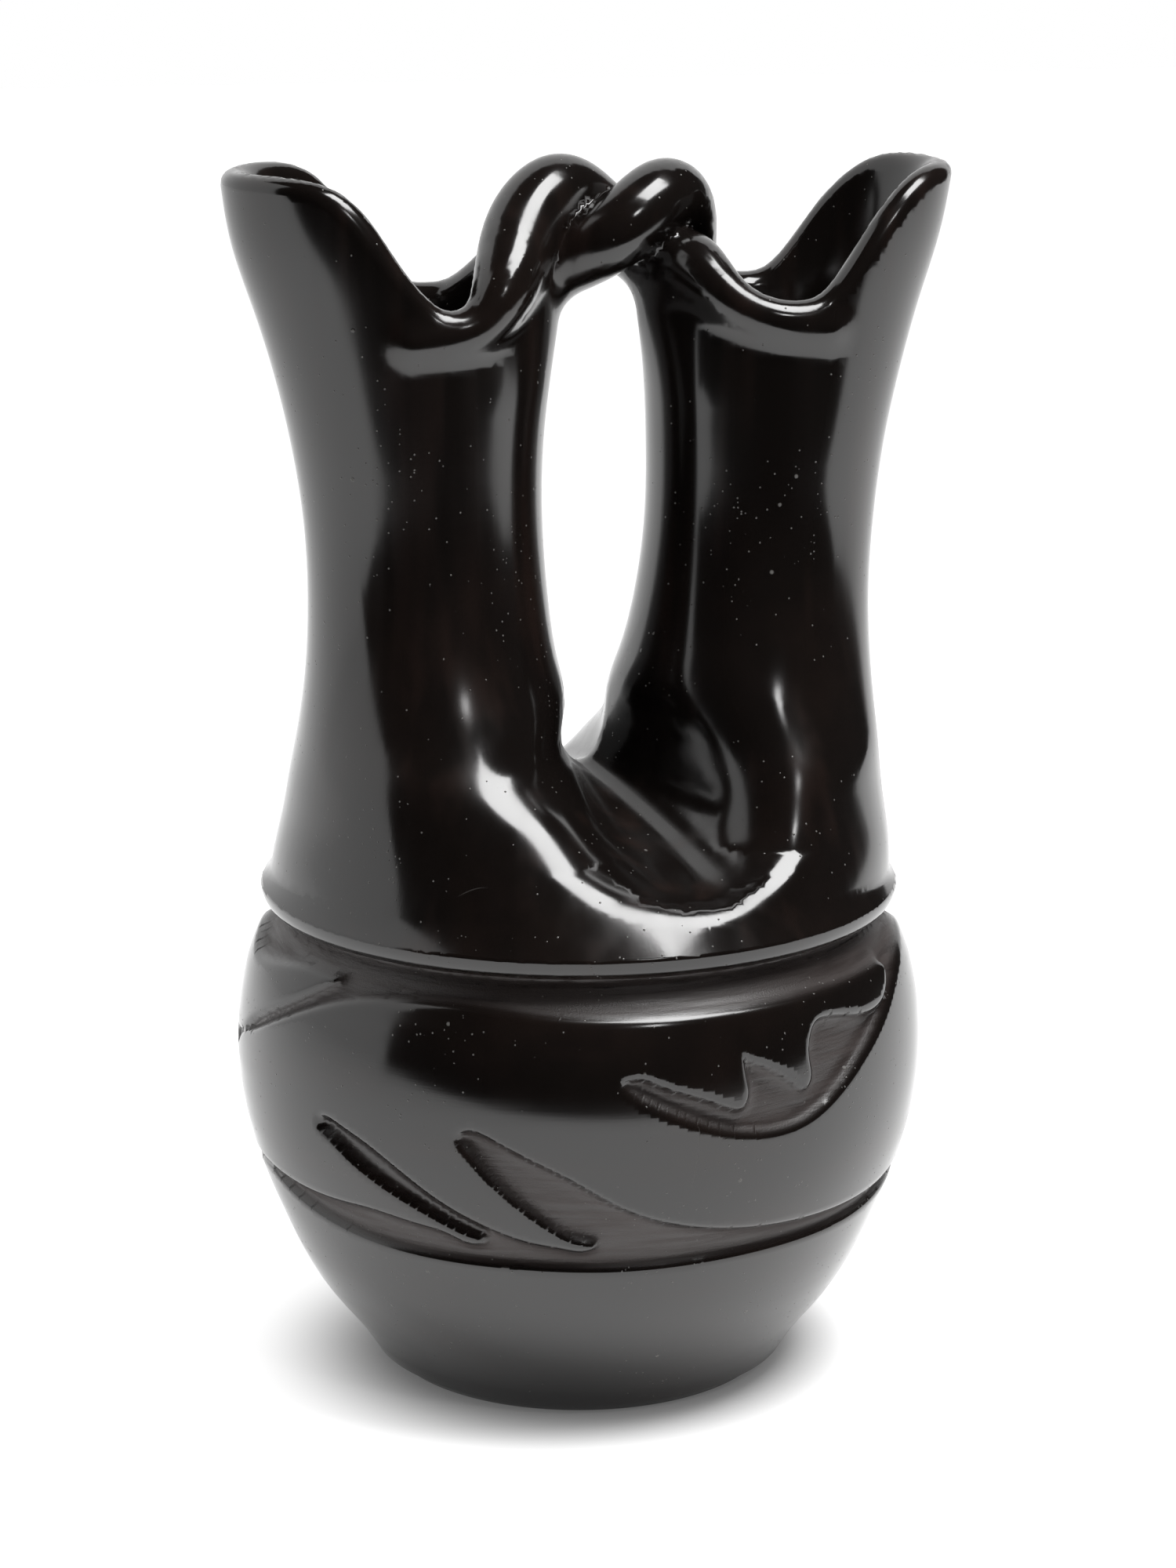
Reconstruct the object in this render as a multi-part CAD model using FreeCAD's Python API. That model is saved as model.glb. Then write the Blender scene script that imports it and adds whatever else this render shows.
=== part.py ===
import FreeCAD, Part
import math
import os

# Wedding vase of burnished black clay, one fired piece.
# Millimetres, Z up, origin at the middle of the foot, spouts along X.
# The front of the vase faces minus Y.

Vector = FreeCAD.Vector

# Main sizes
shoulder_height = 94.6        # underside of the yoke
yoke_radius = 62.7            # radius on the widest line of the yoke
roll_rise = 3.9               # height of the yoke's widest line over its underside
roll_run = 2.6                # how far the rolled edge of the yoke stands out
belly_swell = 5.0             # how far the belly stands out beyond the yoke
foot_radius = 38.6
lip_wall = 5.8                # clay thickness of the spouts
yoke_wall = 8.2               # clay thickness at the bottom of the yoke
wall_change = 30.0            # height over which the yoke's wall thins to that of the spouts
belly_wall = 7.6              # clay thickness of the belly
floor_thickness = 8.0
corner_clay = 4.6             # how much smaller than the foot the hollow starts
groin_blend = 6.0             # softness of the valley between the spouts
inner_blend = 4.0
carve_depth = 2.3             # depth of the carved ground
neck_rise = 51.5              # height over the yoke above which the two spouts stand apart
tongue_drop = 1.5             # top of the belly inside the yoke, below the yoke's widest line
outline_clearance = 2.3       # the cutting walls reach this far outside the belly

# Sizes that follow from the main ones
yoke_height = shoulder_height + roll_rise
shoulder_radius = yoke_radius - roll_run
belly_radius = yoke_radius + belly_swell
neck_height = yoke_height + neck_rise
tongue_height = yoke_height - tongue_drop
carve_outer_radius = belly_radius + outline_clearance
carve_inner_radius = shoulder_radius - carve_depth - outline_clearance

# Belly profile between the foot and the shoulder, as shares of the shoulder height and of
# the way from the foot radius to the belly radius
belly_shares = [
    (0.0, 0.0), (0.032, 0.096), (0.0645, 0.1615), (0.171, 0.426), (0.3225, 0.694),
    (0.483, 0.8935), (0.665, 1.0), (0.837, 0.955), (0.909, 0.8865),
]
belly_profile = [
    (shoulder_height * rise, foot_radius + (belly_radius - foot_radius) * run)
    for rise, run in belly_shares
]
belly_profile.append((shoulder_height * 0.962, shoulder_radius + 0.65 * roll_run))
belly_profile.append((shoulder_height, shoulder_radius - 0.3 * roll_run))

# Valley between the spouts: its floor from the middle out to the front and the radius of
# its hollow, with heights over the yoke.  The same valley runs to the back.
valley_start = (3.0, 0.0, 23.5)
valley_end = (15.0, -46.0, 9.5)
valley_start_radius = 4.5
valley_end_radius = 13.0
valley_softness = 8.0

# Each spout as stations of height over the yoke, distance of the centre from the axis,
# reach inwards, reach outwards and reach sideways
tube_reach = yoke_radius - groin_blend / 4.0
left_stations = [
    (0.0, 0.0) + 3 * (tube_reach,),
    (7.5, 6.5, 53.3, 53.3, 55.3), (14.5, 13.3, 44.9, 44.9, 49.4),
    (21.5, 21.2, 35.7, 35.7, 43.6), (27.5, 27.4, 28.3, 28.3, 38.6),
    (33.5, 28.5, 26.2, 26.2, 34.2), (43.5, 28.9, 24.6, 24.6, 28.6),
    (56.5, 29.7, 23.2, 23.2, 24.6), (71.5, 30.5, 22.95, 22.95, 22.95),
    (86.5, 31.45, 24.1, 24.1, 24.1), (101.5, 32.2, 26.7, 26.7, 26.7),
    (113.5, 32.5, 29.0, 30.0, 29.3), (125.5, 32.7, 29.5, 33.6, 30.5),
    (139.5, 32.8, 29.8, 35.6, 31.5),
]
right_stations = [
    (0.0, 0.0) + 3 * (tube_reach,),
    (7.5, 7.1, 54.2, 54.2, 55.3), (14.5, 14.4, 46.0, 46.0, 49.4),
    (21.5, 22.5, 37.0, 37.0, 43.6), (27.5, 29.2, 29.8, 29.8, 38.6),
    (33.5, 31.6, 26.9, 26.9, 33.9), (43.5, 33.3, 24.5, 24.5, 28.3),
    (56.5, 34.7, 22.8, 22.8, 24.3), (71.5, 36.05, 22.4, 22.4, 22.4),
    (86.5, 37.1, 23.3, 23.3, 23.3), (101.5, 38.3, 25.4, 25.4, 25.4),
    (113.5, 39.4, 28.2, 27.6, 28.3), (125.5, 40.4, 29.4, 30.3, 29.5),
    (139.5, 41.3, 30.2, 32.0, 30.5),
]
# Extra clay on the inner side of each passage, as height over the yoke and thickness
groin_clay = [
    (0.0, 0.0), (11.5, 1.5), (23.5, 3.0), (35.5, 2.0), (51.5, 0.4), (66.5, 0.0),
]

# Height over the yoke of the wall under the rounded lip, by the angle from the pouring side
left_rim = [
    (0.0, 136.7), (25.0, 136.9), (42.0, 136.7), (54.0, 135.1), (62.0, 131.7), (70.0, 126.1),
    (78.0, 119.9), (86.0, 115.3), (94.0, 112.5), (104.0, 111.1), (112.0, 110.9),
    (120.0, 113.5), (130.0, 118.7), (140.0, 122.5), (155.0, 124.0), (180.0, 124.0),
]
right_rim = [
    (0.0, 136.3), (25.0, 136.5), (40.0, 135.3), (52.0, 131.3), (62.0, 125.5), (72.0, 118.5),
    (82.0, 113.7), (92.0, 112.1), (104.0, 111.9), (115.0, 113.1), (126.0, 116.1),
    (138.0, 120.5), (150.0, 123.0), (180.0, 123.5),
]
pinch_rise = 101.5            # this high over the yoke the mouth starts to narrow to a drop
pinch_length = 20.0
pinch_amount = 0.7

# The two coils of the twisted handle as x, y, height over the yoke and coil radius
near_coil = [
    (-36.0, -26.4, 109.5, 2.2), (-29.5, -26.2, 110.3, 2.5), (-24.0, -24.3, 112.1, 3.4),
    (-19.5, -19.5, 116.5, 5.2), (-15.0, -12.0, 124.0, 6.8), (-10.3, -5.0, 130.8, 7.2),
    (-4.2, 0.0, 134.3, 7.2), (6.4, 6.5, 127.8, 7.0), (17.1, 0.0, 121.0, 6.8),
    (20.5, -8.0, 120.7, 6.0), (23.0, -14.0, 118.5, 4.7), (26.5, -19.5, 115.0, 3.5),
    (31.0, -23.8, 112.5, 2.9), (37.0, -25.4, 110.8, 2.5), (43.0, -25.4, 110.1, 2.2),
]
far_coil = [
    (-36.0, 26.4, 109.5, 2.2), (-29.5, 26.2, 110.1, 2.5), (-23.5, 24.0, 111.3, 3.0),
    (-17.5, 18.0, 112.9, 3.9), (-11.0, 9.5, 116.1, 5.6), (-4.2, 0.5, 120.9, 7.0),
    (6.4, -6.5, 127.5, 7.0), (17.1, 0.0, 133.1, 7.2), (22.3, 7.5, 128.3, 6.4),
    (25.5, 14.0, 121.3, 4.8), (29.0, 19.5, 116.1, 3.6), (33.0, 23.6, 112.7, 2.9),
    (38.0, 25.4, 110.8, 2.5), (43.0, 25.4, 110.1, 2.2),
]

# Carved belt: outlines of the sunk ground as angle around the vase (minus 90 is the front)
# and height, for a belly of the drawn height.  Each stroke is smooth and strokes meet at
# corners.  Two equal figures go round.
drawn_belly_height = 94.6
belt_top_strokes = [
    [(-149.3, 89.2), (-153.4, 86.6), (-161.4, 81.8), (-173, 75.3), (-183.8, 69.6),
     (-186.6, 68.0), (-186.2, 66.9), (-183.3, 68.0), (-174, 72.4), (-165.7, 76.4),
     (-156, 81.5), (-146.6, 85.6), (-135.3, 88.3), (-117.6, 89.0), (-104.3, 88.0),
     (-90, 87.6), (-64.9, 87.5), (-48, 87.4), (-38, 87.6), (-34.5, 86.8), (-35.6, 84.2),
     (-41.8, 80.8), (-48, 81.4), (-55.3, 83.0), (-59, 82.4), (-60.6, 80.0), (-61.2, 76.0),
     (-61.4, 71.8), (-62.4, 70.8), (-64, 71.8), (-68, 75.3), (-74.3, 79.0)],
    [(-74.3, 79.0), (-74, 75.0), (-74, 70.8), (-74.9, 69.6), (-76.6, 69.9), (-82, 72.6),
     (-88, 75.2), (-93.2, 77.0), (-94.8, 76.3), (-93, 73.8), (-88.1, 70.5), (-82, 67.2),
     (-74.8, 64.6), (-70, 63.8), (-65.8, 63.9), (-61, 65.1), (-57.3, 67.0), (-48.8, 73.0),
     (-39.2, 79.5), (-33.1, 83.5), (-26, 86.6), (-19.5, 88.5), (-13.7, 89.5), (-8, 88.6),
     (-1.8, 86.6), (6, 86.6), (14.1, 88.0), (22, 89.2), (30.7, 89.2)],
]
belt_foot_strokes = [
    [(-170, 46.3), (-159.9, 46.1), (-148.6, 46.3), (-138, 46.6), (-130, 45.6), (-124, 44.3),
     (-119.2, 43.1), (-118.1, 43.8), (-120, 44.8), (-124.7, 46.9), (-129.8, 49.6),
     (-136.2, 53.0), (-143.1, 57.4), (-146.8, 59.9), (-149.2, 62.2), (-148.6, 63.3),
     (-144.5, 63.1), (-139.3, 61.0), (-132.8, 56.9), (-124.2, 50.7), (-116.8, 46.7),
     (-109.6, 44.0), (-104.3, 42.9), (-100.2, 42.8), (-99.2, 43.5), (-100.6, 44.2),
     (-103.5, 45.2), (-107.6, 48.2), (-113.4, 53.8), (-117.3, 58.4), (-120.4, 62.8),
     (-121.5, 65.4), (-120.2, 66.5), (-116.6, 65.8), (-111.1, 62.6), (-103.4, 58.1),
     (-94.1, 51.4), (-87, 48.0), (-80.4, 46.0), (-71.2, 44.3), (-62, 43.4), (-52.5, 42.9),
     (-35.7, 42.9), (-15, 44.6), (0, 46.0), (10, 46.3)],
]
bowl_edge_strokes = [
    [(-170, 45.2), (-161.6, 42.9), (-150.6, 40.7), (-141.5, 39.5), (-130.8, 38.8),
     (-112, 38.5), (-96, 38.2), (-81, 38.5), (-65, 38.8), (-52.5, 38.8), (-35, 39.4),
     (-15, 41.8), (0, 44.3), (10, 45.2)],
]
ground_levels = (0.43, 0.973) # shares of the shoulder height that lie in the two grounds
wall_stations = 5             # stations of an outline that one piece of its wall covers

# Number of sections used to sample the free form skins
fan_rows = 16
spout_rows = 11
half_points = 19
lip_points = 7
coil_rows = 33


def smooth_line(points, column=1):
    """Natural cubic spline through the given column over the first column."""
    xs = [float(p[0]) for p in points]
    ys = [float(p[column]) for p in points]
    last = len(xs) - 1
    step = [xs[i + 1] - xs[i] for i in range(last)]
    rise = [(ys[i + 1] - ys[i]) / step[i] for i in range(last)]
    ratio = [0.0] * (last + 1)
    part = [0.0] * (last + 1)
    for i in range(1, last):
        size = 2.0 * (xs[i + 1] - xs[i - 1]) - step[i - 1] * ratio[i - 1]
        ratio[i] = step[i] / size
        part[i] = (3.0 * (rise[i] - rise[i - 1]) - step[i - 1] * part[i - 1]) / size
    bend = [0.0] * (last + 1)
    for i in range(last - 1, -1, -1):
        bend[i] = part[i] - ratio[i] * bend[i + 1]

    def value(x):
        x = min(max(x, xs[0]), xs[-1])
        i = 0
        while i < last - 1 and x > xs[i + 1]:
            i += 1
        t = x - xs[i]
        slope = rise[i] - step[i] * (bend[i + 1] + 2.0 * bend[i]) / 3.0
        return ys[i] + t * (slope + t * (bend[i] + t * (bend[i + 1] - bend[i]) / (3.0 * step[i])))

    return value


def over_yoke(table, column):
    """The same table with heights from the foot instead of from the yoke."""
    return [row[:column] + (row[column] + yoke_height,) + row[column + 1:] for row in table]


class Spout:
    """One spout: its side of the vase, its stations and its rim."""

    def __init__(self, side, stations, rim):
        self.side = side
        stations = over_yoke(stations, 0)
        self.centre = smooth_line(stations, 1)
        self.inner = smooth_line(stations, 2)
        self.outer = smooth_line(stations, 3)
        self.across = smooth_line(stations, 4)
        self.rim = smooth_line(over_yoke(rim, 1))


left = Spout(-1, left_stations, left_rim)
right = Spout(1, right_stations, right_rim)
groin = smooth_line(over_yoke(groin_clay, 0))


def capsule_distance(point, start, end, start_radius, end_radius):
    """How far a point lies from a round bar that widens from its start to its end."""
    span = end - start
    share = min(max((point - start).dot(span) / span.dot(span), 0.0), 1.0)
    radius = start_radius + (end_radius - start_radius) * share
    return (point - start - span * share).Length - radius


def valley_distance(point):
    """How far a point lies from the hollow of the valley, in front and behind."""
    floor_start, floor_end = [Vector(*p) for p in over_yoke((valley_start, valley_end), 2)]
    line = floor_end - floor_start
    line.normalize()
    lift = Vector(0, 0, 1) - line * line.z
    lift.normalize()
    start = floor_start + lift * valley_start_radius
    end = floor_end + lift * valley_end_radius
    turned_point = Vector(2.0 * floor_start.x - point.x, 2.0 * floor_start.y - point.y, point.z)
    return min(capsule_distance(p, start, end, valley_start_radius, valley_end_radius)
               for p in (point, turned_point))


class Skin:
    """Outside of the clay, or the passage inside it."""

    def __init__(self, passage):
        self.passage = passage
        self.blend = inner_blend if passage else groin_blend

    def wall(self, z):
        if not self.passage:
            return 0.0
        share = min(max((z - yoke_height) / wall_change, 0.0), 1.0)
        return yoke_wall + (lip_wall - yoke_wall) * share

    def shift(self, z):
        return groin(z) if self.passage else 0.0

    def centre(self, spout, z):
        """Centre line; the passages keep away from the groin."""
        return spout.centre(z) + self.shift(z)

    def tube(self, spout, x, y, z):
        """How far a point lies outside one leaning tube of oval section."""
        if z <= yoke_height:
            reach = across = yoke_radius - self.blend / 4.0 - self.wall(z)
        else:
            thin = self.wall(z) + self.shift(z)
            reach = spout.outer(z) - thin
            across = spout.across(z) - thin
        along = x - spout.side * self.centre(spout, z)
        return (math.hypot(along / reach, y / across) - 1.0) * reach

    def distance(self, point):
        """Positive outside the joined spouts, negative inside."""
        a = self.tube(left, point.x, point.y, point.z)
        b = self.tube(right, point.x, point.y, point.z)
        mix = max(self.blend - abs(a - b), 0.0)
        joined = min(a, b) - mix * mix / (4.0 * self.blend)
        hollow = valley_distance(point) - (lip_wall if self.passage else 0.0)
        soft = min(max(point.z - yoke_height, 0.0), valley_softness)
        mix = max(soft - abs(joined + hollow), 0.0)
        return max(joined, -hollow) + mix * mix / (4.0 * valley_softness)

    def reach(self, start, direction):
        """Point where a ray from inside meets the skin."""
        near = 0.0
        far = 1.5 * yoke_radius
        step = 1.5
        length = step
        while length < far and self.distance(start + direction * length) < 0.0:
            near = length
            length += step
        far = length
        for _ in range(40):
            middle = 0.5 * (near + far)
            if self.distance(start + direction * middle) < 0.0:
                near = middle
            else:
                far = middle
        return start + direction * near

    def groin_top(self):
        """Height of the saddle between the spouts."""
        return self.reach(Vector(0, 0, yoke_height), Vector(0, 0, 1)).z

    def section_point(self, spout, z, angle):
        """Point of the level section; angle 0 is the pouring side, 180 the handle side."""
        turn = math.radians(angle)
        thin = self.wall(z) + self.shift(z)
        x = math.cos(turn)
        y = math.sin(turn)
        if x >= 0.0:
            reach = spout.outer(z) - thin
        else:
            reach = spout.inner(z) - thin
            share = min(max((z - yoke_height - pinch_rise) / pinch_length, 0.0), 1.0)
            y = math.copysign(abs(y) ** (1.0 + pinch_amount * share), y)
        across = spout.across(z) - thin
        middle = spout.side * self.centre(spout, z)
        return Vector(middle + spout.side * reach * x, across * y, z)


outside = Skin(False)
passage = Skin(True)


def half_angles(inner):
    """Angles of the sample points from the near side to the far side of a half."""
    span = [-90.0 + 180.0 * k / (half_points - 1) for k in range(half_points)]
    if inner:
        return [(180.0 - a) for a in span]
    return span


def fan_row(skin, spout, share, inner):
    """Row of skin points in a half plane that opens from the yoke to the neck."""
    level = yoke_height + (neck_height - yoke_height) * share
    hinge = Vector(spout.side * skin.centre(spout, level) if share > 0 else 0.0, 0, level)
    if inner:
        saddle = skin.groin_top()
        height = saddle + (neck_height - saddle) * share
        if share > 0:
            core = Vector(spout.side * skin.centre(spout, height), 0, height)
            target = skin.reach(core, Vector(-spout.side, 0, 0))
        else:
            target = Vector(0, 0, height)
        lead = target - hinge
        lead.normalize()
    else:
        lead = Vector(spout.side, 0, 0)
    row = []
    for k in range(half_points):
        turn = math.radians(-90.0 + 180.0 * k / (half_points - 1))
        row.append(skin.reach(hinge, lead * math.cos(turn) + Vector(0, 1, 0) * math.sin(turn)))
    return row


def spout_row(skin, spout, share, inner):
    """Row of skin points between the neck and the wavy rim."""
    row = []
    for angle in half_angles(inner):
        turn = abs((angle + 180.0) % 360.0 - 180.0)
        z = neck_height + (spout.rim(turn) - neck_height) * share
        row.append(skin.section_point(spout, z, angle))
    return row


def skin_rows(skin, spout, inner):
    rows = [fan_row(skin, spout, i / (fan_rows - 1), inner) for i in range(fan_rows)]
    rows += [spout_row(skin, spout, (i + 1) / spout_rows, inner) for i in range(spout_rows)]
    return rows


def spline_surface(rows):
    """Smooth face through a grid of points; faces with a common edge row share that edge."""
    across = [float(k) for k in range(len(rows[0]))]
    along = [float(k) for k in range(len(rows))]
    curve = Part.BSplineCurve()
    lines = []
    for row in rows:
        curve.interpolate(Points=row, Parameters=across)
        lines.append(curve.getPoles())
    v_knots = curve.getKnots()
    v_mults = curve.getMultiplicities()
    v_degree = curve.Degree
    columns = []
    for k in range(len(lines[0])):
        curve.interpolate(Points=[line[k] for line in lines], Parameters=along)
        columns.append(curve.getPoles())
    poles = [[column[m] for column in columns] for m in range(len(columns[0]))]
    surface = Part.BSplineSurface()
    surface.buildFromPolesMultsKnots(
        poles, curve.getMultiplicities(), v_mults, curve.getKnots(), v_knots,
        False, False, curve.Degree, v_degree)
    return surface.toShape()


def ring_row(radius, z, side):
    """Half circle on the outer side of one spout."""
    row = []
    for k in range(half_points):
        turn = math.radians(-90.0 + 180.0 * k / (half_points - 1))
        row.append(Vector(side * radius * math.cos(turn), radius * math.sin(turn), z))
    return row


def lip_faces(spout):
    """Rounded lip that joins the outside and the passage along the rim."""
    outer_loop = []
    inner_loop = []
    halves = half_angles(False)[:-1] + half_angles(True)[::-1][:-1]
    for angle in halves:
        turn = abs((angle + 180.0) % 360.0 - 180.0)
        z = spout.rim(turn)
        outer_loop.append(outside.section_point(spout, z, angle))
        inner_loop.append(passage.section_point(spout, z, angle))
    count = len(halves)
    arcs = []
    for k in range(count):
        a = outer_loop[k]
        b = inner_loop[k]
        middle = (a + b) * 0.5
        half = (a - b) * 0.5
        ahead = outer_loop[(k + 1) % count] + inner_loop[(k + 1) % count]
        behind = outer_loop[k - 1] + inner_loop[k - 1]
        rise = (ahead - behind).cross(half)
        rise.normalize()
        if rise.z < 0:
            rise = rise * -1.0
        arc = []
        for m in range(lip_points):
            turn = math.pi * m / (lip_points - 1)
            arc.append(middle + half * math.cos(turn) + rise * (half.Length * math.sin(turn)))
        arcs.append(arc)
    first = arcs[0:half_points]
    second = [arcs[0]] + arcs[:half_points - 2:-1]
    faces = []
    for side_arcs in (first, second):
        grid = [[arc[m] for arc in side_arcs] for m in range(lip_points)]
        faces.append(spline_surface(grid))
    return faces


def sewn_solid(faces):
    shell = Part.makeCompound(faces)
    shell.sewShape()
    solid = Part.Solid(shell if shell.ShapeType == "Shell" else shell.Shells[0])
    if solid.Volume < 0:
        solid.reverse()
    return solid


def yoke_and_spouts():
    faces = []
    collar_radius = yoke_radius - yoke_wall
    for spout in (left, right):
        for skin in (outside, passage):
            for inner in (False, True):
                faces.append(spline_surface(skin_rows(skin, spout, inner)))
        faces += lip_faces(spout)
        roll = []
        for k in range(7):
            turn = math.radians(15.0 * k)
            radius = shoulder_radius + roll_run * math.cos(turn)
            roll.append(ring_row(radius, yoke_height - roll_rise * math.sin(turn), spout.side))
        faces.append(spline_surface(roll))
        collar = [ring_row(collar_radius, z, spout.side)
                  for z in (yoke_height, 0.5 * (yoke_height + shoulder_height), shoulder_height)]
        faces.append(spline_surface(collar))
        mean_radius = 0.5 * (shoulder_radius + collar_radius)
        underside = [ring_row(radius, shoulder_height, spout.side)
                     for radius in (shoulder_radius, mean_radius, collar_radius)]
        faces.append(spline_surface(underside))
    return sewn_solid(faces)


def profile_wire(points, extra):
    """Closed profile in the XZ plane: a spline through the points and straight extra sides."""
    curve = Part.BSplineCurve()
    curve.interpolate([Vector(r, 0, z) for z, r in points])
    corners = [Vector(points[-1][1], 0, points[-1][0])]
    corners += [Vector(r, 0, z) for r, z in extra]
    corners.append(Vector(points[0][1], 0, points[0][0]))
    edges = [curve.toShape()]
    for a, b in zip(corners, corners[1:]):
        edges.append(Part.LineSegment(a, b).toShape())
    return Part.Wire(edges)


def turned(points, extra):
    face = Part.Face(profile_wire(points, extra))
    return face.revolve(Vector(0, 0, 0), Vector(0, 0, 1), 360)


def belly():
    top_radius = belly_profile[-1][1]
    return turned(belly_profile, [(top_radius - 0.4, tongue_height), (0, tongue_height), (0, 0)])


def belly_hollow():
    collar_radius = yoke_radius - yoke_wall + 0.2
    bottom_radius = foot_radius - corner_clay
    points = [(floor_thickness, 0.6 * bottom_radius), (floor_thickness + 2.0, bottom_radius)]
    for z, r in belly_profile[4:-2]:
        points.append((z, r - belly_wall))
    points.append((shoulder_height - 1.0, collar_radius))
    top = yoke_height + 0.6
    return turned(points, [(collar_radius, top), (0, top), (0, floor_thickness)])


def coil(stations):
    """Tapered round coil along a smooth path."""
    length = [0.0]
    stations = over_yoke(stations, 2)
    for a, b in zip(stations, stations[1:]):
        length.append(length[-1] + math.dist(a[:3], b[:3]))
    table = [(length[i],) + tuple(stations[i]) for i in range(len(stations))]
    lines = [smooth_line(table, k) for k in (1, 2, 3, 4)]

    def centre(s):
        return Vector(lines[0](s), lines[1](s), lines[2](s))

    rings = []
    normal = Vector(0, 0, 1)
    for i in range(coil_rows):
        s = length[-1] * i / (coil_rows - 1)
        ahead = centre(min(s + 0.2, length[-1])) - centre(max(s - 0.2, 0.0))
        ahead.normalize()
        normal = normal - ahead * normal.dot(ahead)
        normal.normalize()
        side = ahead.cross(normal)
        radius = lines[3](s)
        ring = []
        for k in range(2 * half_points - 1):
            turn = 2.0 * math.pi * k / (2 * half_points - 2)
            ring.append(centre(s) + (normal * math.cos(turn) + side * math.sin(turn)) * radius)
        rings.append(ring)
    upper = [ring[:half_points] for ring in rings]
    lower = [ring[half_points - 1:] for ring in rings]
    faces = [spline_surface(upper), spline_surface(lower)]
    for ring in (rings[0], rings[-1]):
        edges = []
        for half in (ring[:half_points], ring[half_points - 1:]):
            curve = Part.BSplineCurve()
            curve.interpolate(Points=half, Parameters=[float(k) for k in range(half_points)])
            edges.append(curve.toShape())
        faces.append(Part.Face(Part.Wire(edges)))
    return sewn_solid(faces)


def outline_wall(strokes):
    """Upright wall that follows an outline round the vase, figure after figure."""
    faces = []
    stretch = shoulder_height / drawn_belly_height
    for figure in (0.0, 180.0):
        for drawn in strokes:
            stroke = [(angle, z * stretch) for angle, z in drawn]
            place = [0.0]
            for (a1, z1), (a2, z2) in zip(stroke, stroke[1:]):
                arc = math.radians(a2 - a1) * yoke_radius
                place.append(place[-1] + math.hypot(arc, z2 - z1))
            curves = []
            for radius in (carve_inner_radius, carve_outer_radius):
                points = []
                for angle, z in stroke:
                    turn = math.radians(angle + figure)
                    points.append(Vector(radius * math.cos(turn), radius * math.sin(turn), z))
                curve = Part.BSplineCurve()
                curve.interpolate(Points=points, Parameters=place)
                curves.append(curve)
            cuts = place[:-1:wall_stations - 1] + [place[-1]]
            for start, end in zip(cuts, cuts[1:]):
                inner, outer = [curve.toShape(start, end) for curve in curves]
                faces.append(Part.makeRuledSurface(inner, outer))
    return Part.makeCompound(faces)


def sunk_ground():
    """Clay to carve away: the ground above the belt and the ground below it."""
    top = shoulder_height + 0.6
    floor_line = [(z, r - carve_depth) for z, r in belly_profile[3:-1]]
    floor_line.append((top, belly_profile[-1][1] - carve_depth))
    clearance = belly_radius + 0.5 * outline_clearance
    band = turned(floor_line, [(clearance, top), (clearance, floor_line[0][0])])
    walls = [outline_wall(s) for s in (belt_top_strokes, belt_foot_strokes, bowl_edge_strokes)]
    pieces, _ = band.generalFuse(walls)
    probes = [Vector(0, -belly_radius, share * shoulder_height) for share in ground_levels]
    ground = []
    for piece in pieces.Solids:
        if any(piece.isInside(probe, 0.01, False) for probe in probes):
            ground.append(piece)
    return ground


body = yoke_and_spouts()
lower = belly()
for ground in sunk_ground():
    lower = lower.cut(ground)
vase = body.fuse(lower)
vase = vase.cut(belly_hollow())
for stations in (near_coil, far_coil):
    rope = coil(stations)
    vase = vase.fuse(rope)
os.makedirs("parts", exist_ok=True)
vase.exportStep("parts/vase.step")
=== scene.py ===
import math

import bpy
import numpy as np
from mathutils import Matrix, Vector


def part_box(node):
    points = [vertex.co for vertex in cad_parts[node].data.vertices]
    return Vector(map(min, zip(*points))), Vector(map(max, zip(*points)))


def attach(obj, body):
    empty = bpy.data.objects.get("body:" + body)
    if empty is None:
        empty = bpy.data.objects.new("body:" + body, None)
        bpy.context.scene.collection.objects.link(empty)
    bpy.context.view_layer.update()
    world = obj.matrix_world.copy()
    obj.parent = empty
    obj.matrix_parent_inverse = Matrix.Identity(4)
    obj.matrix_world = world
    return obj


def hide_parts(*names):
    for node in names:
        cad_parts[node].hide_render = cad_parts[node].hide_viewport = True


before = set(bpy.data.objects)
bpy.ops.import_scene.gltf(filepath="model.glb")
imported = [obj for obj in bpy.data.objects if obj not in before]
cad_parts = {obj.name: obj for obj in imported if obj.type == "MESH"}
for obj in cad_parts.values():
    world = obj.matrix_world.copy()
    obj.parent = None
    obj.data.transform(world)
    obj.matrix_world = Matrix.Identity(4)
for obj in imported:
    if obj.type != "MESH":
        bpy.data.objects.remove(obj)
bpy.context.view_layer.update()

# The vase is worked out in millimetres: Z up, foot at zero, spouts along X, front at minus Y.
# One millimetre of the drawing in metres, from the height of the solid.
drawn_height = 239.95
solid_box = np.array([list(p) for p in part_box("vase")])
unit = float(solid_box[:, 2].max()) / drawn_height

# Main sizes
shoulder_height = 94.6
yoke_radius = 62.7
roll_rise = 3.9
roll_run = 2.6
belly_swell = 5.0
foot_radius = 38.6
lip_wall = 5.8
yoke_wall = 8.2
wall_change = 30.0            # height over which the yoke's wall thins to that of the lips
belly_wall = 7.6
floor_thickness = 8.0
groin_blend = 6.0
inner_blend = 4.0
carve_depth = 2.3
coil_blend = 4.5
foot_round = 2.0
yoke_height = shoulder_height + roll_rise
shoulder_radius = yoke_radius - roll_run
belly_radius = yoke_radius + belly_swell

# Valley between the spouts: its floor from the middle to the front, the radius of its hollow
# at both ends and the softness of its edge
valley_start = (1.0, 2.0, 121.0)
valley_end = (10.5, -45.0, 106.5)
valley_radii = (3.0, 19.5)
valley_softness = 14.0

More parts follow.
